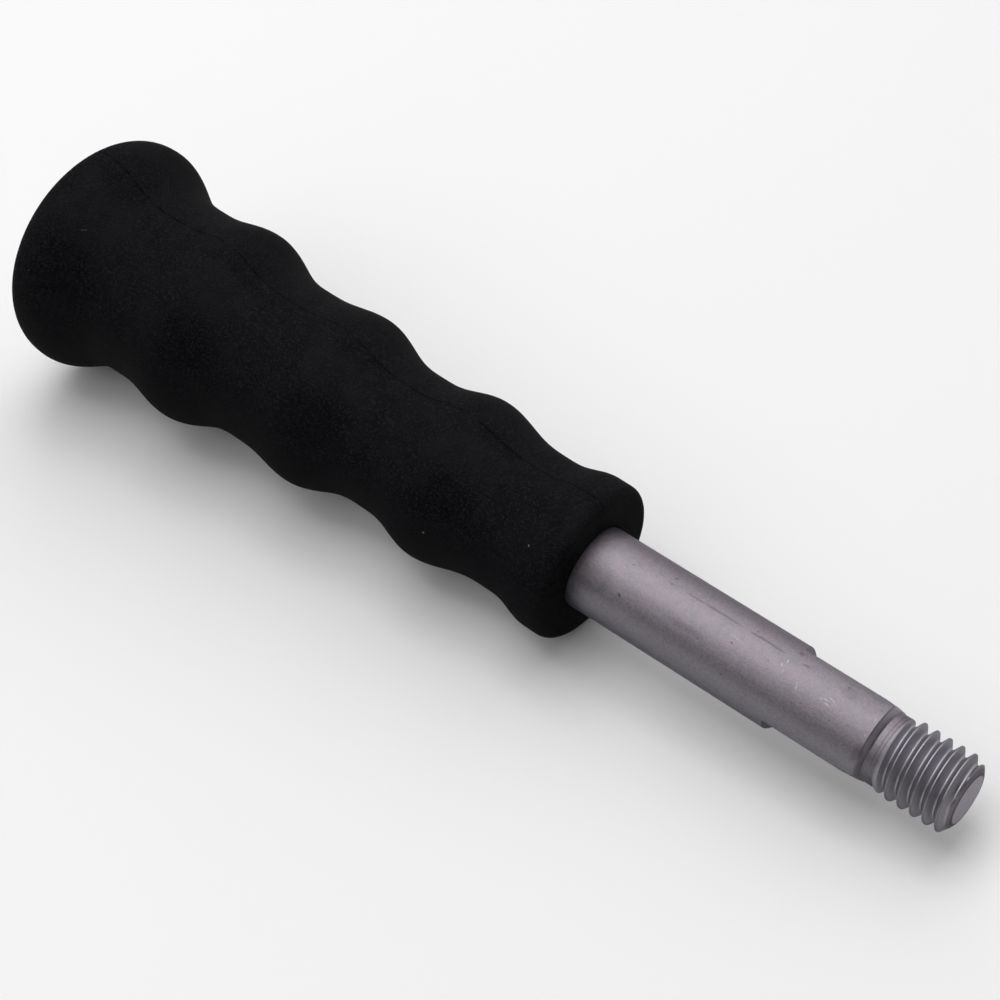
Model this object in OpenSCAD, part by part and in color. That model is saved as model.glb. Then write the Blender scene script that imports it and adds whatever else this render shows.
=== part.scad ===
// Handle rod with a moulded finger grip.
// The rod lies along X and its thread points to +X. X = 0 is where the full thread stops at the neck.
// The rod is one turned piece with two milled spanner flats. The grip is one rubber moulding on it.

/* [Thread] */
// Outside diameter of the thread, over its crests
thread_d = 12.5; // [11.6:0.1:13.8]
// Length of the threaded stretch, with its lead-in bevel
thread_len = 13; // [8:0.5:30]
// Diameter of the flat end face of the thread
thread_tip_d = 8.3; // [5:0.1:11]
// Length of the lead-in bevel along the rod
thread_bevel_len = 1.3; // [0.5:0.1:3]
// Diameter of the plain neck behind the thread
neck_d = 11.4; // [9:0.1:11.8]
// Length of the plain neck
neck_len = 1.4; // [0.4:0.1:4]

/* [Rod] */
// Diameter of the round rod
rod_d = 14; // [13.2:0.1:18]
// Length of the bevel from the neck up to the full rod
shoulder_bevel_len = 0.7; // [0.2:0.1:2]
// Length of full rod that shows between the shoulder and the grip
rod_shown_len = 52.2; // [30:0.1:150]
// Length of rod that is hidden inside the grip
rod_buried_len = 98; // [60:1:104]
// Bevel on the hidden end of the rod
rod_end_bevel = 1; // [0.3:0.1:2]

/* [Spanner flats] */
// Distance across the two flats
flats_across = 12.2; // [11.8:0.1:13]
// Length of each flat, from the shoulder to where its cutter lifts out
flats_len = 15.8; // [8:0.1:25]
// Slope of the run-out at the end of each flat
flats_runout_angle = 74; // [20:1:80]
// Length of the gentle lead-in at the thread end of each flat, from the shoulder
flats_lead_len = 1.4; // [0.5:0.1:4]
// Fall of each flat over its lead-in, at the neck
flats_lead_drop = 0.37; // [0.05:0.01:0.4]

/* [Grip] */
// Diameter of the collar where the rod enters the grip
collar_d = 27.2; // [24:0.1:32]
// Distance from the front face to the fullest part of the collar
collar_len = 4.3; // [3:0.1:8]
// Radius of the edge round the front face
collar_edge_r = 1.9; // [0.5:0.1:2.5]
// Distance from the front face to the first finger ridge
first_ridge_at = 27.3; // [24:0.1:34]
// Distance from each finger ridge to the next, and from the last ridge to the flared end
finger_pitch = 26; // [22:0.1:30]
// Distance from each finger hollow to the ridge behind it
hollow_to_ridge = 14.2; // [11:0.1:16]
// Diameter at the hollow of the first finger, nearest the rod
hollow_1_d = 24.1; // [20:0.1:27]
// Diameter at the hollow of the second finger
hollow_2_d = 24.6; // [20:0.1:28]
// Diameter at the hollow of the third finger
hollow_3_d = 28.5; // [24:0.1:30]
// Diameter at the hollow of the fourth finger
hollow_4_d = 32.4; // [26:0.1:35]
// Diameter at the first finger ridge
ridge_1_d = 28.8; // [28:0.1:34]
// Diameter at the second finger ridge
ridge_2_d = 31; // [30:0.1:36]
// Diameter at the third finger ridge
ridge_3_d = 35.6; // [35:0.1:40]
// Diameter of the flared end
flare_d = 41.5; // [38:0.1:48]
// Length of the domed cap behind the flare
cap_len = 8.7; // [5:0.1:14]
// Fullness of the cap and its edge, where 2 is an ellipse
cap_fullness = 2.5; // [2:0.1:3.5]
// Fullness of the ridges, where a higher value makes them narrower and the hollows broader
ridge_sharpness = 1.6; // [1:0.1:2.2]
// Lean of the grip off the line of the rod, towards the upper flat, in degrees
grip_lean = 0.9; // [0:0.1:1.6]
// Gap between the rod and the bore, all round
bore_clearance = 0.03; // [0.01:0.01:0.1]
// Room left between the hidden end of the rod and the bottom of the bore
bore_end_gap = 0.3; // [0.1:0.1:2]

/* [Pose] */
// Roll of the whole handle about its rod, away from level flats, in degrees
roll = -56; // [-90:1:90]

/* [Hidden] */
$fn = 96;

thread_r = thread_d / 2;
neck_r = neck_d / 2;
rod_r = rod_d / 2;

// Stations along X, from the thread's tip back to the grip
tip_x = thread_len;
neck_x = -neck_len;
shoulder_x = neck_x - shoulder_bevel_len;
mouth_x = shoulder_x - rod_shown_len;
rod_end_x = mouth_x - rod_buried_len;
flats_end_x = shoulder_x - flats_len;

flat_depth = (rod_d - flats_across) / 2;
flats_runout_len = flat_depth / tan(flats_runout_angle);

// Stations along the grip, each as [distance back from the front face, diameter]
hollow_ds = [hollow_1_d, hollow_2_d, hollow_3_d, hollow_4_d];
ridge_ds = [ridge_1_d, ridge_2_d, ridge_3_d, flare_d];
last_finger = len(hollow_ds) - 1;
fullest = [collar_len, collar_d];
ridges = [for (i = [0:last_finger]) [first_ridge_at + i * finger_pitch, ridge_ds[i]]];
hollows = [for (i = [0:last_finger]) [ridges[i][0] - hollow_to_ridge, hollow_ds[i]]];
flare_at = ridges[last_finger][0];
edge_steps = 5;
wave_steps = 10;
cap_steps = 20;

// Share of the way from a hollow, at 0, up to a ridge, at 1
function rise(share) = pow((1 - cos(180 * share)) / 2, ridge_sharpness);

// Points of [distance, radius] from one station to the next
function climb(from, to) = [
    for (i = [1:wave_steps])
        let (share = i / wave_steps)
        [from[0] + (to[0] - from[0]) * share,
         (from[1] + (to[1] - from[1]) * rise(share)) / 2]
];
function fall(from, to) = [
    for (i = [1:wave_steps])
        let (share = i / wave_steps)
        [from[0] + (to[0] - from[0]) * share,
         (to[1] + (from[1] - to[1]) * rise(1 - share)) / 2]
];

front_edge = [
    for (i = [0:edge_steps])
        let (turn = 90 * i / edge_steps)
        [collar_edge_r * (1 - cos(turn)),
         collar_d / 2 - collar_edge_r * (1 - sin(turn))]
];
waves = [
    for (i = [0:last_finger])
        each concat(
            fall(i == 0 ? fullest : ridges[i - 1], hollows[i]),
            climb(hollows[i], ridges[i])
        )
];
cap = [
    for (i = [1:cap_steps])
        let (turn = 90 * i / cap_steps)
        [flare_at + cap_len * pow(sin(turn), 2 / cap_fullness),
         flare_d / 2 * pow(max(cos(turn), 0), 2 / cap_fullness)]
];
grip_outline = concat(
    [[0, 0]],
    front_edge,
    [[collar_len, collar_d / 2]],
    waves,
    cap
);

// Turns an outline of [distance along the rod, radius] points about the X axis
module turned(outline) {
    rotate([90, 0, 90])
        rotate_extrude()
            polygon([for (p = outline) [p[1], p[0]]]);
}

module laid() {
    rotate([roll, 0, 0])
        children();
}

// Takes the metal above the upper flat, with its lead-in at the neck and the sloped run-out at its end
module flat_cutter() {
    reach = rod_d;
    flat_z = flats_across / 2;
    translate([0, reach / 2, 0])
        rotate([90, 0, 0])
            linear_extrude(height = reach)
                polygon([
                    [flats_end_x, flat_z],
                    [flats_end_x - flats_runout_len, rod_r],
                    [flats_end_x - flats_runout_len, reach],
                    [neck_x, reach],
                    [neck_x, flat_z - flats_lead_drop],
                    [shoulder_x - flats_lead_len, flat_z]
                ]);
}

module rod() {
    color([0.55, 0.52, 0.55])
        laid()
            difference() {
                turned([
                    [rod_end_x, 0],
                    [rod_end_x, rod_r - rod_end_bevel],
                    [rod_end_x + rod_end_bevel, rod_r],
                    [shoulder_x, rod_r],
                    [neck_x, neck_r],
                    [0, neck_r],
                    [0, thread_r],
                    [tip_x - thread_bevel_len, thread_r],
                    [tip_x, thread_tip_d / 2],
                    [tip_x, 0]
                ]);
                flat_cutter();
                mirror([0, 0, 1])
                    flat_cutter();
            }
}

module grip() {
    color([0.07, 0.07, 0.075])
        laid()
            difference() {
                translate([mouth_x, 0, 0])
                    rotate([0, grip_lean, 0])
                        mirror([1, 0, 0])
                            turned(grip_outline);
                translate([rod_end_x - bore_end_gap, 0, 0])
                    rotate([0, 90, 0])
                        cylinder(r = rod_r + bore_clearance, h = rod_buried_len + bore_end_gap + collar_d);
            }
}

rod();
grip();
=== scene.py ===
# Looks of a handle rod with a moulded finger grip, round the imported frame.
import bisect
import math

import bpy
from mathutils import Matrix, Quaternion, Vector, noise


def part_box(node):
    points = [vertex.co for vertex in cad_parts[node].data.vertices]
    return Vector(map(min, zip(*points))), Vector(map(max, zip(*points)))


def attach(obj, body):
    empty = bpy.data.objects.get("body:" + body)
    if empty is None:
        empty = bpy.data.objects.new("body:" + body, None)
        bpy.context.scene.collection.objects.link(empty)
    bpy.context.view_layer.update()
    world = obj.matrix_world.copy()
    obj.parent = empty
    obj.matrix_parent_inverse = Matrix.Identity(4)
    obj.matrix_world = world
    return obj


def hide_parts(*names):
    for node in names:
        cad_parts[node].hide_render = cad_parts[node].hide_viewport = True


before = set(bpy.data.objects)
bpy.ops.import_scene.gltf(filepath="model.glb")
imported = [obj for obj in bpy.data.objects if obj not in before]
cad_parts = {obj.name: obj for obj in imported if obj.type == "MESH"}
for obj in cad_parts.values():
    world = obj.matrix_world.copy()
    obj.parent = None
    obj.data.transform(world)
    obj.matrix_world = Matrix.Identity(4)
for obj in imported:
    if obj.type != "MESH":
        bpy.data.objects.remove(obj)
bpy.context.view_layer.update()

# Lengths are in millimetres in the part's frame: the rod along X, its thread to +X.
# A turn is an angle about the rod, from the upper flat's normal towards the side that the camera sees.
MM = 0.001
WHOLE_TURN = 2 * math.pi

# The handle is rolled about its rod, away from level flats
ROLL = math.radians(-56)
AXIS = Vector((1, 0, 0))
UP = Vector((0, -math.sin(ROLL), math.cos(ROLL)))
OUT = Vector((0, -math.cos(ROLL), -math.sin(ROLL)))

# Rod, with its ends taken from the frame
rod_low, rod_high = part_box("rod")
TIP_X = rod_high.x / MM
ROD_END_X = rod_low.x / MM
ROD_R = 7.0
ROD_END_BEVEL = 1.0
THREAD_R = 6.25
THREAD_TIP_R = 4.15
THREAD_BEVEL = 1.3
NECK_R = 5.7
NECK_X = -1.4
SHOULDER_X = -2.1
MOUTH_X = -54.3

# Thread: a coarse right-hand one of 12 turns to the inch, rolled on the blank that the neck shows
THREAD_PITCH = 25.4 / 12
THREAD_ROOT_R = 4.98
CREST_AT_X = 2.18
CREST_FLAT = 0.22
CREST_ROUND = 0.08
ROOT_ROUND = 0.35
FLANK_SLOPE = math.tan(math.radians(60))
BEVEL_POWER = 0.75
BEVEL_ROUND = 0.2

# Ends of the thread at the neck: its grooves fade in, and the blank widens from the neck to the crests
GROOVES_FROM_X = 0.1
GROOVES_TO_X = 0.5
GROOVES_SPARE_LIFT = 0.1
BLANK_FROM_X = 0.2
BLANK_TO_X = 2.1

# Rows of the thread's mesh, which follow the helix and gather at its crest and its root
THREAD_ROWS_FROM_X = -1.2
ROWS_PER_PITCH = 22
ROWS_GATHER = 0.62
PITCHES_BEFORE_CREST = 4
PITCHES_TO_SPARE = 5

# Radii of the rings that keep the end face flat up to its rim
END_FACE_RADII = (4.05, 3.95, 3.7)

# Columns of the rod's mesh, which gather at the long edges of the flats
COLUMN_STEP = math.radians(1.5)
EDGE_COLUMN_STEP = math.radians(0.7)
COLUMNS_BESIDE_EDGE = 2

# Spanner flats
FLAT_Z = 6.1
FLATS_END_X = -17.9
FLATS_RUNOUT_SLOPE = math.tan(math.radians(74))
FLATS_LEAD = 1.4
FLATS_LEAD_DROP = 0.37
LEAD_ROUND = 0.3
EDGE_BREAK = 0.05

# The edges are rounded more on the run-out, between these heights above the flat
RUNOUT_ROUND = 0.15
RUNOUT_ROUND_FROM = 0.1
RUNOUT_ROUND_TO = 0.8

# Rounds of the rod's outline at the neck, the shoulder and the bevel of its hidden end
OUTLINE_ROUNDS = (0.12, 0.14, 0.2)

# Rows that the outline gains, closest where the flats change, as first x, step towards the grip and
# count. Each keeps a distance from the outline's own points.
OUTLINE_ROWS = (
    (NECK_X - 0.05, 0.05, 9),
    (SHOULDER_X - 0.2, 0.2, 11),
    (SHOULDER_X - 3, 1, 13),
    (FLATS_END_X + 0.15, 0.025, 24),
    (FLATS_END_X - 2, 2, 65),
)
ROW_DISTANCE = 0.02

# Grip, as stations of distance back from its front face
COLLAR_R = 13.6
COLLAR_LEN = 4.3
COLLAR_EDGE_R = 1.9
FIRST_RIDGE_AT = 27.3
FINGER_PITCH = 26.0
HOLLOW_TO_RIDGE = 14.2
HOLLOW_RS = (12.05, 12.3, 14.25, 16.2)
RIDGE_RS = (14.4, 15.5, 17.8, 20.75)
CAP_LEN = 8.7
CAP_FULLNESS = 2.5
RIDGE_SHARPNESS = 1.6
GRIP_LEAN = math.radians(0.9)
BORE_R = ROD_R + 0.03
BORE_END_X = ROD_END_X - 0.3
BORE_LIP = 0.3

# Rings of the front face, as shares of the way in from its edge, and those of the lip and the bore
FRONT_FACE_SHARES = (0.12, 0.3, 0.5, 0.7, 0.88)
BORE_LIP_STEPS = 4
BORE_ROWS_X = (MOUTH_X - 2, (MOUTH_X + BORE_END_X) / 2, BORE_END_X)

# The rubber is slightly uneven, in slow waves
UNEVEN_DEPTH = 0.09
UNEVEN_LENGTH = 14

# The mould's parting line runs along the grip at two opposite turns, as a fine crease
SEAM_TURN = math.radians(49)
SEAM_DEPTH = 0.1
SEAM_HALF_WIDTH = 0.16
SEAM_SHARPNESS = 1.6
SEAM_LIP = 0.03

# Columns of the grip's mesh, as distances to each side of a parting line, and their count in between
SEAM_OFFSETS = (0.05, 0.1, 0.16, 0.22, 0.3, 0.5, 0.8)
SEAM_COLUMNS = tuple(-off for off in reversed(SEAM_OFFSETS)) + (0,) + SEAM_OFFSETS
COLUMNS_BETWEEN_SEAMS = 112

# The line sets in between these distances from the front face and from the pole of the cap
SEAM_FROM_FRONT = (0.3, 2.2)
SEAM_FROM_POLE = (3, 9)

# It strays sideways in waves of height, pace and start, and two more waves make it shallower in places
SEAM_STRAYS = ((0.07, 0.9, 0), (0.05, 2.3, 1))
SEAM_SHALLOWING = 0.28
SEAM_SWELLS = ((0.47, 2), (1.9, 0))


def around(x, radius, turn):
    """Point at a turn and a distance from the rod's axis."""
    return x * AXIS + radius * (math.cos(turn) * UP + math.sin(turn) * OUT)


def smooth_min(a, b, blend):
    """The smaller of two values, rounded where they are within blend of each other."""
    near = max(blend - abs(a - b), 0) / blend
    return min(a, b) - near * near * blend / 4


def smooth_max(a, b, blend):
    """The larger of two values, rounded in the same way."""
    return -smooth_min(-a, -b, blend)


def smooth_step(low, high, value):
    """0 up to low, 1 from high on, and smooth between them."""
    share = min(max((value - low) / (high - low), 0), 1)
    return share * share * (3 - 2 * share)


def rounded(points, rounds, steps=5):
    """A polyline of (x, radius) whose inner corners are rounded over the given lengths."""
    line = [points[0]]
    for i in range(1, len(points) - 1):
        corner = Vector(points[i])
        back = (Vector(points[i - 1]) - corner).normalized() * rounds[i - 1]
        on = (Vector(points[i + 1]) - corner).normalized() * rounds[i - 1]
        for k in range(steps + 1):
            t = k / steps
            bent = (1 - t) ** 2 * (corner + back) + 2 * t * (1 - t) * corner + t * t * (corner + on)
            line.append(tuple(bent))
    line.append(points[-1])
    return line


class Skin:
    """Vertices and faces of one piece, built from rings round the rod."""

    def __init__(self):
        self.points = []
        self.faces = []

    def ring(self, points):
        """Adds points and gives their numbers."""
        start = len(self.points)
        self.points.extend(points)
        return list(range(start, len(self.points)))

    def face(self, corners):
        """Adds a face, without corners that have fallen together."""
        kept = [c for i, c in enumerate(corners) if c != corners[i - 1]]
        if len(set(kept)) > 2:
            self.faces.append(kept)

    def band(self, ring, following):
        """Joins two rings. The faces look away from the rod where the second is further towards -X."""
        for k in range(len(ring)):
            after = (k + 1) % len(ring)
            self.face([ring[k], ring[after], following[after], following[k]])

    def disc(self, ring, centre, faces_x_up):
        """Closes a ring with triangles to a centre point."""
        middle = self.ring([centre])[0]
        for k in range(len(ring)):
            after = (k + 1) % len(ring)
            corners = [ring[k], ring[after], middle]
            self.faces.append(corners if faces_x_up else corners[::-1])


def new_object(name, data):
    """An object in the scene, at its origin."""
    made = bpy.data.objects.new(name, data)
    bpy.context.scene.collection.objects.link(made)
    return made


def make_piece(name, skin, node, finish, sharp_deg):
    """A piece that stands for a CAD node and rides on its body."""
    mesh = bpy.data.meshes.new(name)
    mesh.from_pydata([p * MM for p in skin.points], [], skin.faces)
    mesh.validate()
    for polygon in mesh.polygons:
        polygon.use_smooth = True
    mesh.set_sharp_from_angle(angle=math.radians(sharp_deg))
    mesh.materials.append(finish)
    piece = new_object(name, mesh)
    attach(piece, "root")
    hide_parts(node)


# Rod

def rod_turns():
    """Turns of the rod's columns, closer together at the long edges of the flats."""
    edge = math.acos(FLAT_Z / ROD_R)
    edges = [edge, math.pi - edge, math.pi + edge, WHOLE_TURN - edge, WHOLE_TURN + edge]
    beside = COLUMNS_BESIDE_EDGE * EDGE_COLUMN_STEP
    turns = []
    for corner, following in zip(edges, edges[1:]):
        close = range(-COLUMNS_BESIDE_EDGE, COLUMNS_BESIDE_EDGE + 1)
        turns += [corner + EDGE_COLUMN_STEP * k for k in close]
        span = following - corner - 2 * beside
        steps = round(span / COLUMN_STEP)
        turns += [corner + beside + span * k / steps for k in range(1, steps)]
    return turns


def thread_radius(x, turn):
    """Radius of the threaded end, with its bevelled tip, and with grooves that fade in at the neck."""
    phase = (x - CREST_AT_X) / THREAD_PITCH - turn / WHOLE_TURN
    off_crest = abs(phase - round(phase)) * THREAD_PITCH
    flank = THREAD_R - max(off_crest - CREST_FLAT / 2, 0) * FLANK_SLOPE
    full_lift = NECK_R - THREAD_ROOT_R + GROOVES_SPARE_LIFT
    lift = full_lift * (1 - smooth_step(GROOVES_FROM_X, GROOVES_TO_X, x))
    cut = smooth_max(flank, THREAD_ROOT_R, ROOT_ROUND) + lift
    blank = NECK_R + (THREAD_R - NECK_R) * smooth_step(BLANK_FROM_X, BLANK_TO_X, x)
    bevel_share = (TIP_X - x) / THREAD_BEVEL
    bevel = THREAD_TIP_R + (THREAD_R - THREAD_TIP_R) * bevel_share ** BEVEL_POWER
    return smooth_min(smooth_min(blank, cut, CREST_ROUND), bevel, BEVEL_ROUND)


def profile_offsets():
    """Offsets along one pitch for the thread's rows, close together at the crest and the root."""
    half = THREAD_PITCH / 2
    side = ROWS_PER_PITCH // 2
    spread = [half * (k / side) for k in range(side)]
    eased = [o - ROWS_GATHER * half / WHOLE_TURN * math.sin(WHOLE_TURN * o / half) for o in spread]
    return eased + [half + o for o in eased]


def thread_band(skin, turns):
    """Rows that follow the helix, cut off at the tip and where the neck starts. Returns both end rings."""
    offsets = profile_offsets()
    pitches = math.ceil((TIP_X - THREAD_ROWS_FROM_X) / THREAD_PITCH) + PITCHES_TO_SPARE
    first = CREST_AT_X - PITCHES_BEFORE_CREST * THREAD_PITCH
    rows = [first + q * THREAD_PITCH + o for q in range(pitches) for o in offsets]
    tip = skin.ring([around(TIP_X, thread_radius(TIP_X, t), t) for t in turns])
    start = skin.ring([around(THREAD_ROWS_FROM_X, NECK_R, t) for t in turns])
    grid = []
    for s in rows:
        row = []
        for k, turn in enumerate(turns):
            x = s + THREAD_PITCH * turn / WHOLE_TURN
            if x >= TIP_X:
                row.append(tip[k])
            elif x <= THREAD_ROWS_FROM_X:
                row.append(start[k])
            else:
                row += skin.ring([around(x, thread_radius(x, turn), turn)])
        grid.append(row)
    for row, ahead in zip(grid, grid[1:]):
        for k in range(len(turns) - 1):
            skin.face([ahead[k], ahead[k + 1], row[k + 1], row[k]])
    # The last column meets the first one a pitch further on
    a_pitch = len(offsets)
    for j in range(len(rows) - a_pitch - 1):
        row, ahead = grid[j + a_pitch], grid[j + a_pitch + 1]
        skin.face([grid[j + 1][-1], ahead[0], row[0], grid[j][-1]])
    return tip, start


def flat_height(x):
    """Height of the flat above the axis, with its run-out and its lead-in at the neck."""
    runout = smooth_max((FLATS_END_X - x) * FLATS_RUNOUT_SLOPE, 0, 2 * EDGE_BREAK)
    lead_from = SHOULDER_X - FLATS_LEAD
    lead = smooth_max((x - lead_from) / (NECK_X - lead_from), 0, LEAD_ROUND)
    return FLAT_Z + runout - FLATS_LEAD_DROP * lead


def rod_radius(x, round_radius, turn):
    """Radius behind the thread, where the two flats cut the round rod."""
    height = flat_height(x)
    across = abs(math.cos(turn))
    on_runout = smooth_step(RUNOUT_ROUND_FROM, RUNOUT_ROUND_TO, height - FLAT_Z)
    blend = EDGE_BREAK + RUNOUT_ROUND * on_runout
    if across * (round_radius + blend) < height:
        return round_radius
    return smooth_min(round_radius, height / across, blend)


def rod_line():
    """The round rod's outline from the neck to its hidden end, with rows where the flats change."""
    corners = [
        (THREAD_ROWS_FROM_X, NECK_R),
        (NECK_X, NECK_R),
        (SHOULDER_X, ROD_R),
        (ROD_END_X + ROD_END_BEVEL, ROD_R),
        (ROD_END_X, ROD_R - ROD_END_BEVEL),
    ]
    line = rounded(corners, OUTLINE_ROUNDS)
    backs = [-x for x, radius in line]
    rows = list(line)
    for x in [start - step * k for start, step, count in OUTLINE_ROWS for k in range(count)]:
        at = bisect.bisect_left(backs, -x)
        if 0 < at < len(line) and min(abs(x + back) for back in backs) > ROW_DISTANCE:
            (x0, r0), (x1, r1) = line[at - 1], line[at]
            rows.append((x, r0 + (r1 - r0) * (x - x0) / (x1 - x0)))
    return sorted(rows, key=lambda p: (-p[0], p[1]))


def build_rod():
    """The rod, from its end face over the thread and the flats to its hidden end."""
    skin = Skin()
    turns = rod_turns()
    face, ring = thread_band(skin, turns)
    for radius in END_FACE_RADII:
        inner = skin.ring([around(TIP_X, radius, t) for t in turns])
        skin.band(inner, face)
        face = inner
    skin.disc(face, TIP_X * AXIS, faces_x_up=True)
    for x, radius in rod_line()[1:]:
        following = skin.ring([around(x, rod_radius(x, radius, t), t) for t in turns])
        skin.band(ring, following)
        ring = following
    skin.disc(ring, ROD_END_X * AXIS, faces_x_up=False)
    return skin


# Grip

def rise(share):
    """Share of the way from a finger hollow, at 0, up to a ridge, at 1."""
    return ((1 - math.cos(math.pi * share)) / 2) ** RIDGE_SHARPNESS


def grip_line(edge_steps=8, collar_steps=4, wave_steps=26, cap_steps=26):
    """The grip's outline of (distance back, radius), from its front face to the pole of its cap."""
    line = []
    for i in range(edge_steps + 1):
        turn = math.pi / 2 * i / edge_steps
        back = COLLAR_EDGE_R * (1 - math.cos(turn))
        line.append((back, COLLAR_R - COLLAR_EDGE_R * (1 - math.sin(turn))))
    for k in range(1, collar_steps + 1):
        line.append((COLLAR_EDGE_R + (COLLAR_LEN - COLLAR_EDGE_R) * k / collar_steps, COLLAR_R))
    at, radius = COLLAR_LEN, COLLAR_R
    for i, (hollow_r, ridge_r) in enumerate(zip(HOLLOW_RS, RIDGE_RS)):
        ridge_at = FIRST_RIDGE_AT + i * FINGER_PITCH
        hollow_at = ridge_at - HOLLOW_TO_RIDGE
        for k in range(1, wave_steps + 1):
            share = k / wave_steps
            fall = hollow_r + (radius - hollow_r) * rise(1 - share)
            line.append((at + (hollow_at - at) * share, fall))
        for k in range(1, wave_steps + 1):
            share = k / wave_steps
            climb = hollow_r + (ridge_r - hollow_r) * rise(share)
            line.append((hollow_at + (ridge_at - hollow_at) * share, climb))
        at, radius = ridge_at, ridge_r
    for k in range(1, cap_steps):
        turn = math.pi / 2 * k / cap_steps
        back = at + CAP_LEN * math.sin(turn) ** (2 / CAP_FULLNESS)
        line.append((back, radius * math.cos(turn) ** (2 / CAP_FULLNESS)))
    return line


def leaning(back, radius, turn):
    """Point of the grip, whose line leans off the rod's towards the upper flat."""
    up = radius * math.cos(turn)
    x = MOUTH_X - back * math.cos(GRIP_LEAN) + up * math.sin(GRIP_LEAN)
    lifted = back * math.sin(GRIP_LEAN) + up * math.cos(GRIP_LEAN)
    return x * AXIS + lifted * UP + radius * math.sin(turn) * OUT


def seam_wander(back):
    """How far the parting line strays sideways, and its share of the full depth there."""
    stray = sum(height * math.sin(back * pace + start) for height, pace, start in SEAM_STRAYS)
    swell = math.prod(math.sin(back * pace + start) for pace, start in SEAM_SWELLS)
    return stray, 1 - SEAM_SHALLOWING * (1 - swell)


def seam_relief(off, depth):
    """Height of the skin near the parting line: a crease with a low lip on each side."""
    crease = math.exp(-SEAM_SHARPNESS * (off / SEAM_HALF_WIDTH) ** 2)
    lip = math.exp(-(((abs(off) - 2 * SEAM_HALF_WIDTH) / SEAM_HALF_WIDTH) ** 2))
    return depth * (SEAM_LIP * lip - SEAM_DEPTH * crease)


def grip_ring(skin, back, radius):
    """One ring of the grip's outside, with columns that gather at the two parting lines."""
    stray, depth = seam_wander(back)
    depth *= smooth_step(*SEAM_FROM_FRONT, back) * smooth_step(*SEAM_FROM_POLE, radius)
    # Nearer the pole the columns keep the turns that they have where the line is full
    reach = max(radius, SEAM_FROM_POLE[1])
    points = []
    for seam in (SEAM_TURN, SEAM_TURN + math.pi):
        for off in SEAM_COLUMNS:
            turn = seam + (off + stray) / reach
            points.append((turn, seam_relief(off, depth)))
        first = seam + (SEAM_COLUMNS[-1] + stray) / reach
        last = seam + math.pi + (SEAM_COLUMNS[0] + stray) / reach
        for k in range(1, COLUMNS_BETWEEN_SEAMS):
            points.append((first + (last - first) * k / COLUMNS_BETWEEN_SEAMS, 0))
    ring = []
    for turn, relief in points:
        waves = noise.noise(leaning(back, radius, turn) / UNEVEN_LENGTH)
        sunk = UNEVEN_DEPTH * (0.5 + 0.5 * waves) + SEAM_LIP
        ring.append(leaning(back, max(radius - sunk + relief, 0), turn))
    return skin.ring(ring), [turn for turn, relief in points]


def bore_lip(turns):
    """Rings of points round the mouth of the bore, in the plane of the leaning front face."""
    rings = []
    for k in range(BORE_LIP_STEPS + 1):
        turn_in = math.pi / 2 * k / BORE_LIP_STEPS
        radius = BORE_R + BORE_LIP * (1 - math.sin(turn_in))
        back = BORE_LIP * (1 - math.cos(turn_in))
        points = [around(MOUTH_X - back, radius, t) for t in turns]
        for p in points:
            p.x += p.dot(UP) * math.tan(GRIP_LEAN)
        rings.append(points)
    return rings


def build_grip():
    """The grip, from its collar back to its cap, and from its front face into its blind bore."""
    skin = Skin()
    line = grip_line()
    ring, turns = grip_ring(skin, *line[0])
    edge = [skin.points[i] for i in ring]
    lip = bore_lip(turns)
    inward = [[e.lerp(m, share) for e, m in zip(edge, lip[0])] for share in FRONT_FACE_SHARES]
    inward += lip
    inward += [[around(x, BORE_R, t) for t in turns] for x in BORE_ROWS_X]
    face = ring
    for points in inward:
        inner = skin.ring(points)
        skin.band(inner, face)
        face = inner
    skin.disc(face, BORE_END_X * AXIS, faces_x_up=True)
    for back, radius in line[1:]:
        following, turns = grip_ring(skin, back, radius)
        skin.band(ring, following)
        ring = following
    flare_at = FIRST_RIDGE_AT + (len(RIDGE_RS) - 1) * FINGER_PITCH
    skin.disc(ring, leaning(flare_at + CAP_LEN, 0, 0), faces_x_up=False)
    return skin


# Finishes

class Value:
    """A socket of a finish. Arithmetic on values adds the Math nodes that work it out."""

    def __init__(self, finish, socket):
        self.finish = finish
        self.socket = socket

    def __add__(self, other):
        return self.finish.math("ADD", self, other)

    def __radd__(self, other):
        return self.finish.math("ADD", other, self)

    def __sub__(self, other):
        return self.finish.math("SUBTRACT", self, other)

    def __rsub__(self, other):
        return self.finish.math("SUBTRACT", other, self)

    def __mul__(self, other):
        return self.finish.math("MULTIPLY", self, other)

    def __rmul__(self, other):
        return self.finish.math("MULTIPLY", other, self)


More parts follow.
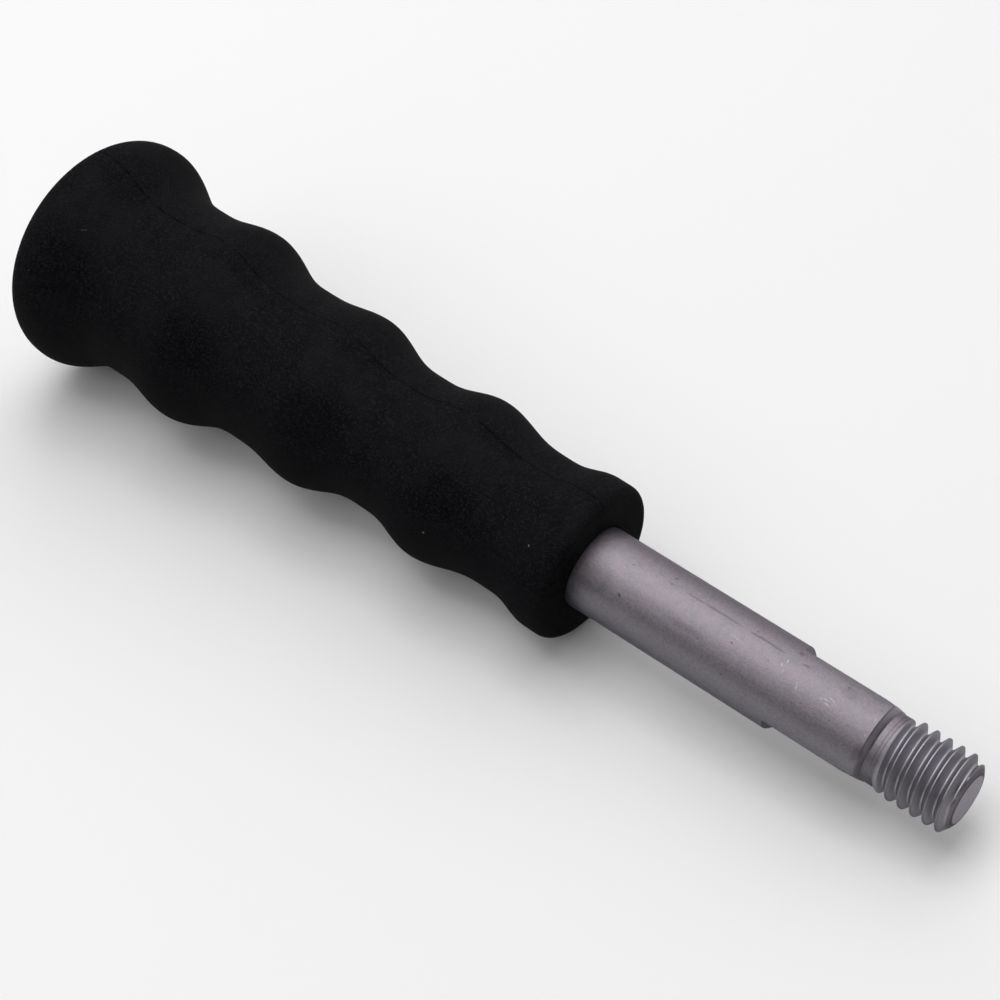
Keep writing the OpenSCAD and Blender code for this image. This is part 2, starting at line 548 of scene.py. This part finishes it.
class Finish:
    """The node tree of a material or of the world, in the making."""

    def __init__(self, holder):
        self.holder = holder
        holder.use_nodes = True
        self.tree = holder.node_tree
        self.tree.nodes.clear()

    def add(self, kind, settings, sockets, output=0):
        """Adds a node: its type, its settings, then values or links by socket name or number."""
        made = self.tree.nodes.new(kind)
        for name, setting in settings.items():
            setattr(made, name, setting)
        for key, given in sockets.items():
            if isinstance(given, Value):
                self.tree.links.new(given.socket, made.inputs[key])
            else:
                made.inputs[key].default_value = given
        return Value(self, made.outputs[output]) if made.outputs else None

    def math(self, operation, *values):
        return self.add("ShaderNodeMath", {"operation": operation}, dict(enumerate(values)))

    def vector(self, operation, *values, output=0):
        return self.add("ShaderNodeVectorMath", {"operation": operation}, dict(enumerate(values)), output)

    def scaled(self, vector, factor):
        return self.add("ShaderNodeVectorMath", {"operation": "SCALE"}, {0: vector, "Scale": factor})

    def place(self):
        """Millimetres in the part's frame."""
        return self.scaled(self.add("ShaderNodeTexCoord", {}, {}, "Object"), 1 / MM)

    def along(self, place, direction):
        """How far a place lies along a direction."""
        return self.vector("DOT_PRODUCT", place, direction, output=1)

    def off_axis(self, place):
        """The part of a place that is square to the rod's axis."""
        return self.vector("MULTIPLY", place, (0, 1, 1))

    def turn(self, place):
        """Turn of a place about the rod, from the upper flat's normal."""
        return self.math("ARCTAN2", self.along(place, OUT), self.along(place, UP))

    def wrapped(self, place):
        """The rod's skin laid flat, in millimetres along it and round it from the upper flat."""
        sockets = {"X": self.along(place, AXIS), "Y": self.turn(place) * ROD_R}
        return self.add("ShaderNodeCombineXYZ", {}, sockets)

    def facing(self, place, turn):
        """1 on the side of the handle that faces a turn, 0 square to it and -1 on the other side."""
        return self.along(self.vector("NORMALIZE", self.off_axis(place)), around(0, 1, turn))

    def ease(self, value, low, high):
        """0 at low, 1 at high and smooth between them, whichever of the two is the larger."""
        sockets = {"Value": value, "From Min": low, "From Max": high}
        return self.add("ShaderNodeMapRange", {"interpolation_type": "SMOOTHSTEP"}, sockets)

    def side(self, place, turn, low, high):
        """A side of the handle: 0 where it faces the turn by low, and 1 where it does by high."""
        return self.ease(self.facing(place, turn), low, high)

    def noise(self, place, scale, detail=2.0, roughness=0.5, output="Fac"):
        sockets = {"Vector": place, "Scale": scale, "Detail": detail, "Roughness": roughness}
        return self.add("ShaderNodeTexNoise", {}, sockets, output)

    def mix(self, factor, first, second):
        """A colour that goes from the first to the second."""
        sockets = {0: factor, 6: first, 7: second}
        return self.add("ShaderNodeMix", {"data_type": "RGBA"}, sockets, 2)

    def marks(self, flat, marks):
        """Soft oval marks on the flat skin: x, turn, half length, half width, lean and strength of each."""
        total = 0
        for x, turn, half_length, half_width, lean, strength in marks:
            sockets = {
                "Vector": flat,
                "Location": (x, math.radians(turn) * ROD_R, 0),
                "Rotation": (0, 0, math.radians(lean)),
                "Scale": (half_length, half_width, 1),
            }
            inside = self.add("ShaderNodeMapping", {"vector_type": "TEXTURE"}, sockets)
            reach = self.vector("LENGTH", inside, output=1)
            total = total + self.ease(reach, 1, MARK_CORE) * strength
        return total

    def specks(self, place, points, radius):
        """1 on small round specks at the given points."""
        total = 0
        for point in points:
            off = self.vector("DISTANCE", place, point, output=1)
            total = total + self.ease(off, radius, SPECK_CORE * radius)
        return total

    def bump(self, height, depth):
        """Normal of a relief whose height is in shares of a depth."""
        sockets = {"Height": height, "Distance": depth * MM, "Strength": 1.0}
        return self.add("ShaderNodeBump", {}, sockets)

    def principled(self, sockets):
        """Ends the tree in one Principled shader and gives the material."""
        shader = self.add("ShaderNodeBsdfPrincipled", {}, sockets)
        self.add("ShaderNodeOutputMaterial", {}, {"Surface": shader})
        return self.holder


def new_finish(name):
    return Finish(bpy.data.materials.new(name))


def colour(red, green, blue):
    return (red, green, blue, 1)


def grey(level):
    return colour(level, level, level)


# Share of a mark's, a ring's or a speck's size that has its full strength
MARK_CORE = 0.35
RING_CORE = 0.4
SPECK_CORE = 0.5

# Marks on the rod, as x, turn in degrees, half length, half width, lean in degrees and strength.
# The faint line runs along the rod in broken stretches.
PITS = (
    (-2.9, 52, 0.16, 0.14, 0, 0.5), (-7.5, 121, 0.18, 0.14, 0, 0.4), (-8.3, 98, 0.2, 0.16, 0, 0.45),
    (-8.8, 48, 0.22, 0.18, 30, 0.7), (-13.3, 98, 0.18, 0.16, 0, 0.45), (-20.8, 75, 0.22, 0.16, 0, 0.4),
    (-24.9, 48, 0.22, 0.18, 20, 0.6), (-26.1, 120, 0.24, 0.22, 0, 0.6), (-26.9, 80, 0.26, 0.22, 0, 0.6),
    (-31.7, 98, 0.26, 0.2, 40, 0.5), (-40.0, 56, 0.26, 0.2, 0, 0.5), (-40.2, 44, 0.3, 0.2, -20, 0.6),
    (-45.8, 104, 0.36, 0.3, 20, 0.7), (-46.7, 61, 0.28, 0.2, 0, 0.5),
)
FAINT_LINE = (
    (-15.8, 54, 1.1, 0.24, -3, 0.4), (-20.6, 54.6, 1.6, 0.22, -2, 0.42), (-22.9, 53.6, 2.4, 0.24, 1, 0.45),
    (-24.8, 54.4, 1.5, 0.22, 0, 0.38), (-29.2, 53.8, 2.3, 0.22, 1, 0.46), (-32.3, 54.2, 3.0, 0.22, 0, 0.42),
    (-35.7, 54.6, 2.3, 0.2, -1, 0.36), (-39.7, 54.4, 1.2, 0.22, 0, 0.28),
)
# Smudges, the last of which, by the grip's mouth on the underside, is painted shade
SMUDGES_AND_SHADE = (
    (-34.2, 94, 4.6, 0.8, 0, 0.22), (-2.6, 113, 1.0, 2.2, 10, 0.35), (-8.0, 55, 1.8, 1.6, 0, 0.18),
    (-17.7, 41, 0.75, 0.5, 10, 0.4), (-50.5, 100, 3.6, 3.6, 0, 0.2),
)
SCRATCHES = (
    (-9.7, 74, 0.5, 0.09, 8, 0.8), (-9.2, 75.5, 0.28, 0.08, 40, 0.7), (-10.4, 78, 0.6, 0.08, -6, 0.7),
    (-9.9, 82.5, 0.55, 0.08, 14, 0.8), (-11.0, 80, 0.3, 0.07, 60, 0.6), (-2.8, 67, 0.4, 0.1, 70, 0.5),
    (-2.8, 89, 0.4, 0.09, 60, 0.5), (-18.4, 62, 0.5, 0.14, 70, 0.5), (-18.8, 70, 0.4, 0.14, 50, 0.5),
    (-18.1, 76, 0.35, 0.12, 80, 0.45), (-15.0, 85, 0.5, 0.11, 75, 0.6), (-15.3, 80, 0.3, 0.1, 60, 0.45),
    (-26.7, 72, 1.5, 0.08, 2, 0.4), (4.62, 57, 0.2, 0.16, 0, 0.9), (8.97, 76, 0.12, 0.14, 0, 0.8),
)

# Dark lines all round the rod, as x, half width and strength: painted shade at the shoulder's outer edge
# and at the neck's corner, then two faint tool lines
RINGS = (
    (SHOULDER_X, 0.12, 0.3), (NECK_X - 0.02, 0.15, 0.25), (-0.38, 0.17, 0.4), (0.15, 0.15, 0.45),
)

# Edges of the masks on the rod, each as the x or the radius where the mask is 0 and where it is 1
ROLLED_FROM = (0.3, 0.8)
ROLLED_TO = (TIP_X - 0.3, TIP_X - 0.6)
GROOVE_BELOW = (THREAD_R - 0.1, THREAD_R - 0.3)
ROOT_BELOW = (THREAD_ROOT_R + 0.32, THREAD_ROOT_R + 0.07)
SHOULDER_FROM = (SHOULDER_X - 0.05, SHOULDER_X + 0.1)
SHOULDER_TO = (NECK_X + 0.05, NECK_X - 0.1)
FACE_FROM = (TIP_X - 0.07, TIP_X - 0.02)
FACE_BELOW = (THREAD_TIP_R - 0.15, THREAD_TIP_R - 0.25)
BEVEL_FROM = (TIP_X - 0.7, TIP_X - 0.5)
BEVEL_ABOVE = (THREAD_TIP_R - 0.05, THREAD_TIP_R + 0.1)
RIM_FROM = (TIP_X - 0.2, TIP_X - 0.1)
TURNED_FROM = (SHOULDER_X - 0.1, SHOULDER_X + 0.2)
TURNED_TO = (TIP_X - 0.08, TIP_X - 0.12)
FLAT_ABOVE = (FLAT_Z - 0.4, FLAT_Z - 0.2)
FLAT_FROM = (FLATS_END_X, FLATS_END_X + 0.1)
FLAT_TO = (0, -0.2)

# Painted shade as dark lines at the end face's rim and on the last flank, with the distances off each where
# it is 0 and where it is 1
RIM_R = THREAD_TIP_R + 0.05
RIM_WIDTH = (0.22, 0.1)
LAST_FLANK_X = CREST_AT_X + 4 * THREAD_PITCH + 0.45
FLANK_WIDTH = (0.45, 0.2)

# Levels of the noises where their masks are 0 and where they are 1
SPECKLE_LEVELS = (0.3, 0.7)
STAIN_LEVELS = (0.3, 0.6)

# Depth of the plating's relief, and how the lines across the flats are drawn out
PLATING_DEPTH = 0.05
MILLED_STRETCH = (5.0, 0.3, 0.3)

# Sides of the rod that differ in tone, as a turn and the facing where the mask is 0 and where it is 1: the
# thread's underside, darkened as painted shade, and the rod's upper side, painted lighter as if lit
THREAD_UNDER = (math.radians(45), 0.75, 0.1)
ROD_LIT_SIDE = (math.radians(60), 0.2, 0.9)

# Colours of the rod, the first two as darker and lighter speckles: mauve as painted light on the upper side
# and slate as painted shade below. Then the thread's grey, a grey for painted light on the thread, a dark
# for marks and painted shade, and the scratches' and edges' tints
LIT_MAUVE = (colour(0.181, 0.158, 0.177), colour(0.251, 0.220, 0.246))
SHADED_SLATE = (colour(0.157, 0.148, 0.167), colour(0.224, 0.211, 0.236))
THREAD_GREY = colour(0.245, 0.238, 0.262)
PAINTED_LIGHT_GREY = colour(0.47, 0.45, 0.49)
DARK_MARK_AND_SHADE = colour(0.052, 0.043, 0.045)
SCRATCHED = colour(0.42, 0.40, 0.42)
EDGE_TINT = colour(0.54, 0.52, 0.55)


def ring_lines(finish, x):
    """The dark lines round the rod, each with its own strength."""
    total = 0
    for at, half_width, strength in RINGS:
        off = finish.math("ABSOLUTE", x - at)
        total = total + finish.ease(off, half_width, RING_CORE * half_width) * strength
    return total


def thread_masks(finish, place):
    """Masks of the rolled thread, and of what is brighter, darker and coarser on it and round it. Brighter
    is painted light and a paler end face, darker is painted shade and two faint tool lines.
    """
    x = finish.along(place, AXIS)
    radius = finish.vector("LENGTH", finish.off_axis(place), output=1)
    rolled = finish.ease(x, *ROLLED_FROM) * finish.ease(x, *ROLLED_TO)
    groove = rolled * finish.ease(radius, *GROOVE_BELOW)
    root = rolled * finish.ease(radius, *ROOT_BELOW)
    shoulder = finish.ease(x, *SHOULDER_FROM) * finish.ease(x, *SHOULDER_TO)
    face = finish.ease(x, *FACE_FROM) * finish.ease(radius, *FACE_BELOW)
    bevel = finish.ease(x, *BEVEL_FROM) * finish.ease(radius, *BEVEL_ABOVE)
    climb = finish.turn(place) * (THREAD_PITCH / WHOLE_TURN)
    off_flank = finish.math("ABSOLUTE", x - climb - LAST_FLANK_X)
    flank = finish.ease(off_flank, *FLANK_WIDTH)
    off_rim = finish.math("ABSOLUTE", radius - RIM_R)
    rim = finish.ease(x, *RIM_FROM) * finish.ease(off_rim, *RIM_WIDTH)
    turned = finish.ease(x, *TURNED_FROM) * finish.ease(x, *TURNED_TO)
    under = turned * finish.side(place, *THREAD_UNDER)
    # Painted light in the grooves and on the shoulder, a painted highlight at the roots, and a paler end
    # face
    bright = 0.37 * groove + 0.23 * root + 0.75 * shoulder + 0.65 * face
    # Painted shade on the thread's underside, the last flank, the bevel and the rim, and in the dark lines
    # round the rod
    dimmed = under * (0.25 - 0.25 * groove + 0.3 * root + 0.35 * shoulder)
    dark = 0.3 * flank + (0.4 - 0.3 * under) * bevel + 0.55 * rim + dimmed
    dark = dark + (1 - 0.7 * under) * ring_lines(finish, x)
    return rolled, bright, dark, groove - root + shoulder


def milled_height(finish, place):
    """Lines that the cutter left across the two flats."""
    x = finish.along(place, AXIS)
    height = finish.math("ABSOLUTE", finish.along(place, UP))
    on_flat = finish.ease(height, *FLAT_ABOVE) * finish.ease(x, *FLAT_FROM) * finish.ease(x, *FLAT_TO)
    stretched = finish.vector("MULTIPLY", place, MILLED_STRETCH)
    return on_flat * finish.noise(stretched, scale=1.0, roughness=0.6)


def steel_finish():
    """Dull grey plated steel, mottled, with fine pits and light scratches, mauve above as painted light and
    slate below as painted shade, and with painted light and shade on the thread.
    """
    finish = new_finish("rod_steel")
    place = finish.place()
    flat = finish.wrapped(place)
    rolled, painted_light, shaded, coarse = thread_masks(finish, place)
    stain = finish.noise(place, scale=0.75, roughness=0.55)
    blast = finish.noise(place, scale=2.6, detail=3.0, roughness=0.7)
    speckle = finish.ease(blast, *SPECKLE_LEVELS)
    # Painted light and shade: mauve where the upper side and the stain noise meet, slate as painted shade
    # below and elsewhere
    lit_side = finish.side(place, *ROD_LIT_SIDE) * finish.ease(stain, *STAIN_LEVELS)
    metal = finish.mix(lit_side, finish.mix(speckle, *SHADED_SLATE), finish.mix(speckle, *LIT_MAUVE))
    # The thread's grey, lifted towards a light grey by painted light
    plated = finish.mix(painted_light, finish.mix(rolled, metal, THREAD_GREY), PAINTED_LIGHT_GREY)
    pits = finish.marks(flat, PITS)
    # Real pits, the faint line and smudges, with painted shade from the thread's masks and by the grip's
    # mouth
    dark = pits + finish.marks(flat, FAINT_LINE + SMUDGES_AND_SHADE) + shaded
    marked_and_shaded = finish.mix(dark, plated, DARK_MARK_AND_SHADE)
    scratched = finish.mix(finish.marks(flat, SCRATCHES), marked_and_shaded, SCRATCHED)
    relief = (0.9 - 0.8 * rolled) * blast - 0.7 * pits + 0.3 * milled_height(finish, place)
    return finish.principled({
        "Base Color": scratched,
        "Metallic": 1.0,
        "Specular Tint": EDGE_TINT,
        "Roughness": 0.36 + 0.12 * speckle - 0.08 * rolled + 0.2 * coarse,
        "Normal": finish.bump(relief, PLATING_DEPTH),
    })


# Specks on the grip, as distance back from its front face and turn in degrees
LINT = ((5.5, 101), (23.1, 136))
LINT_R = 0.24
DUST = ((99.7, 86.4), (99.95, 87), (100.2, 87.6), (105.1, 117))
DUST_R = 0.2

# Distance back to the middle of the first flank with painted light above and painted shade below, and the
# limits of that wave
LIT_FLANK_AT = 22.0
LIT_FLANK_WAVE = (-0.3, 1.0)

# Sides of the grip that differ in tone or grain, given as the rod's are: painted light above and painted
# shade below on the flanks, painted light on the upper side, deeper grain with a stronger contrast on the
# lit side, and a side turned away that gets both of the last two
FLANK_LIT_ABOVE = (math.radians(71), 0.95, 1.0)
FLANK_SHADED_BELOW = (math.radians(106), 0.94, 1.0)
UPPER_LIT_SIDE = (math.radians(62), 0.4, 1.0)
LIT_GRAIN_SIDE = (math.radians(78), 0.3, 1.0)
BACK_SIDE = (math.radians(78), -0.25, -0.7)

# Distances off the parting line where its shade is 0 and where it is full
SEAM_SHADE = (0.3, 0.05)

# Grain: folds of a noise that is bent and stretched, deeper in patches, and raised above a middle level
FOLD_BEND = 1.1
FOLD_STRETCH = (0.6, 1.0, 1.4)
FOLD_LEVELS = (0.38, 0.72)
FOLD_MIDDLE = 0.42
PATCH_LEVELS = (0.3, 0.7)
GRAIN_DEPTH = 0.16

# Colours of the grip, the first as the dark and the pale of its grain, then a near-black for painted shade
# in the parting line's crease, and the dust's and lint's colours
RUBBER = (colour(0.0020, 0.0020, 0.0026), colour(0.0136, 0.0133, 0.0150))
CREASE_SHADE_BLACK = grey(0.001)
DUST_BROWN = colour(0.09, 0.08, 0.06)
LINT_GREY = colour(0.13, 0.13, 0.135)


def grip_point(back, turn_deg):
    """Point on the grip's outside at a distance back from its front face and a turn in degrees."""
    line = grip_line()
    at = bisect.bisect_left([p[0] for p in line], back)
    (b0, r0), (b1, r1) = line[at - 1], line[at]
    radius = r0 + (r1 - r0) * (back - b0) / (b1 - b0)
    return leaning(back, radius, math.radians(turn_deg))


def seam_mask(finish, place):
    """1 along the parting line. Both its sides lie in one plane through the grip's leaning line."""
    lean = math.sin(SEAM_TURN) * math.sin(GRIP_LEAN)
    normal = math.cos(SEAM_TURN) * OUT - math.sin(SEAM_TURN) * UP - lean * AXIS
    off = finish.math("ABSOLUTE", finish.along(place, normal) + lean * MOUTH_X)
    return finish.ease(off, *SEAM_SHADE)


def flank_light_and_shade(finish, place):
    """Painted light as paler rubber above, and painted shade as darker rubber below, on the flank of each
    ridge that faces the thread.
    """
    ahead = finish.along(place, AXIS) - (MOUTH_X - LIT_FLANK_AT)
    wave = finish.math("COSINE", ahead * (WHOLE_TURN / FINGER_PITCH))
    flank = finish.ease(wave, *LIT_FLANK_WAVE)
    return flank * (0.33 * finish.side(place, *FLANK_LIT_ABOVE) - 0.15 * finish.side(place, *FLANK_SHADED_BELOW))


def rubber_finish():
    """Near-black moulded rubber with a fine wrinkled leather grain and a few specks of lint and dust, with
    painted light and shade on its sides and flanks and painted shade in the parting line.
    """
    finish = new_finish("grip_rubber")
    place = finish.place()
    bend = finish.noise(place, scale=1.3, output="Color")
    bent = finish.vector("ADD", place, finish.scaled(bend, FOLD_BEND))
    folds = finish.noise(finish.vector("MULTIPLY", bent, FOLD_STRETCH), scale=3.3, detail=0.0)
    patches = finish.ease(finish.noise(place, scale=0.35), *PATCH_LEVELS)
    behind = finish.side(place, *BACK_SIDE)
    # Grain deeper and its painted contrast stronger on the lit side, and on the side turned away
    lit_grain_sides = finish.side(place, *LIT_GRAIN_SIDE) + behind
    depth = (0.5 + 0.5 * patches) * (0.35 + 0.65 * lit_grain_sides)
    wrinkles = (finish.ease(folds, *FOLD_LEVELS) - FOLD_MIDDLE) * depth
    # Painted light on the upper side, and a lighter side turned away from it
    painted_light_sides = finish.side(place, *UPPER_LIT_SIDE) + behind
    # Tone of the grain, with painted light and shade added
    tone_and_painted_light = 0.45 + 0.27 * painted_light_sides + 0.85 * wrinkles + flank_light_and_shade(finish, place)
    # Painted shade in the parting line's crease
    seam = (0.12 + 0.33 * patches) * seam_mask(finish, place)
    creased = finish.mix(seam, finish.mix(tone_and_painted_light, *RUBBER), CREASE_SHADE_BLACK)
    dust = finish.specks(place, [grip_point(*spot) for spot in DUST], DUST_R)
    dusted = finish.mix(0.5 * dust, creased, DUST_BROWN)
    lint = finish.specks(place, [grip_point(*spot) for spot in LINT], LINT_R)
    return finish.principled({
        "Base Color": finish.mix(lint, dusted, LINT_GREY),
        "Roughness": 0.7 + 0.1 * finish.noise(place, scale=0.14),
        "Specular IOR Level": 0.015,
        "Normal": finish.bump(wrinkles, GRAIN_DEPTH),
    })


# Studio

# Floor, which gives way to the backdrop between two distances from the thread
FLOOR_REACH = 40000
FLOOR_GAP = 0.02
FLOOR_FADE = (400, 1100)
FLOOR_TONES = (grey(0.89), grey(0.91))
FLOOR_SEEN_TONES = (grey(0.975), grey(0.99))

# The floor touches the flared end and, at least this far from there, the collar
NEXT_REST_FROM = 20

# Camera, as fitted to the photo
CAMERA_AZIMUTH = math.radians(39.243)
CAMERA_ELEVATION = math.radians(48.967)
CAMERA_ROLL = math.radians(0.27)
CAMERA_DISTANCE = 391.375
CAMERA_AIM = Vector((-73.799, 0.864, 0.585))
CAMERA_LENS = 90
CAMERA_SENSOR = 36
CAMERA_NEAR = 10

# Strength of the world's light from behind the rod and from before it, and of the backdrop
WORLD_BACK = 0.9
WORLD_FRONT = 0.36
BACKDROP = 0.9

# Lamps, as name, direction and power. They stand side by side in an arch across the rod.
LAMPS = (
    ("top", (-0.3, 0, 0.97), 5.7),
    ("back", (-0.3, 0.62, 0.78), 2.95),
    ("front", (-0.3, -0.62, 0.78), 2.7),
)
LAMP_DISTANCE = 1100
LAMP_SIZE = 900


def floor_finish():
    """Plain studio floor, near white where it is seen, that gives way to the pale backdrop further off."""
    finish = new_finish("floor_pale")
    place = finish.place()
    drift = finish.noise(place, scale=0.002)
    direct = finish.add("ShaderNodeLightPath", {}, {}, "Is Camera Ray")
    sight = direct
    for ray in ("Is Glossy Ray", "Is Transmission Ray"):
        sight = finish.math("MAXIMUM", sight, finish.add("ShaderNodeLightPath", {}, {}, ray))
    lit, seen = finish.mix(drift, *FLOOR_TONES), finish.mix(drift, *FLOOR_SEEN_TONES)
    far = finish.ease(finish.vector("LENGTH", place, output=1), *FLOOR_FADE)
    return finish.principled({
        "Base Color": finish.mix(sight, lit, seen),
        "Roughness": 0.9,
        "Specular IOR Level": 0.0,
        "Alpha": 1 - direct * far,
    })


def lay_floor(points):
    """A floor that the flared end and the collar rest on."""
    lowest = min(points, key=lambda p: p.z)
    further = [p for p in points if p.x > lowest.x + NEXT_REST_FROM]
    slope = min((p.z - lowest.z) / (p.x - lowest.x) for p in further)
    corners = []
    for x, y in ((-1, -1), (1, -1), (1, 1), (-1, 1)):
        height = lowest.z - FLOOR_GAP + slope * (x * FLOOR_REACH - lowest.x)
        corners.append(Vector((x * FLOOR_REACH, y * FLOOR_REACH, height)) * MM)
    mesh = bpy.data.meshes.new("floor")
    mesh.from_pydata(corners, [], [(0, 1, 2, 3)])
    mesh.materials.append(floor_finish())
    new_object("floor", mesh)


def set_camera():
    """The camera of the photo, which looks down on the thread's end."""
    data = bpy.data.cameras.new("camera")
    data.lens = CAMERA_LENS
    data.sensor_width = CAMERA_SENSOR
    data.clip_start = CAMERA_NEAR * MM
    camera = new_object("camera", data)
    level = math.cos(CAMERA_ELEVATION)
    back = Vector((
        math.sin(CAMERA_AZIMUTH) * level,
        -math.cos(CAMERA_AZIMUTH) * level,
        math.sin(CAMERA_ELEVATION),
    ))
    camera.location = (CAMERA_AIM + back * CAMERA_DISTANCE) * MM
    camera.rotation_mode = "QUATERNION"
    level_view = (-back).to_track_quat("-Z", "Y")
    camera.rotation_quaternion = level_view @ Quaternion((0, 0, 1), CAMERA_ROLL)
    bpy.context.scene.camera = camera


def set_world():
    """Soft light from behind the rod and, weaker, from before it. Only the camera sees the backdrop."""
    world = bpy.data.worlds.new("studio")
    room = Finish(world)
    across = room.along(room.add("ShaderNodeTexCoord", {}, {}, "Generated"), (0, 1, 0))
    back = room.math("MAXIMUM", across, 0.0) * WORLD_BACK
    front = room.math("MAXIMUM", 0.0 - across, 0.0) * WORLD_FRONT
    direct = room.add("ShaderNodeLightPath", {}, {}, "Is Camera Ray")
    strength = room.math("MAXIMUM", back + front, direct * BACKDROP)
    background = room.add("ShaderNodeBackground", {}, {"Color": grey(1), "Strength": strength})
    room.add("ShaderNodeOutputWorld", {}, {"Surface": background})
    bpy.context.scene.world = world


def set_lamps():
    """Broad square lamps that face the camera's aim."""
    for name, direction, power in LAMPS:
        data = bpy.data.lights.new(name, "AREA")
        data.shape = "SQUARE"
        data.size = LAMP_SIZE * MM
        data.energy = power
        lamp = new_object(name, data)
        towards = Vector(direction).normalized()
        lamp.location = (CAMERA_AIM + towards * LAMP_DISTANCE) * MM
        lamp.rotation_mode = "QUATERNION"
        lamp.rotation_quaternion = towards.to_track_quat("Z", "Y")


grip_skin = build_grip()
make_piece("handle_rod", build_rod(), "rod", steel_finish(), sharp_deg=38)
make_piece("finger_grip", grip_skin, "grip", rubber_finish(), sharp_deg=60)
lay_floor(grip_skin.points)
set_camera()
set_world()
set_lamps()
bpy.context.scene.view_settings.view_transform = "Standard"
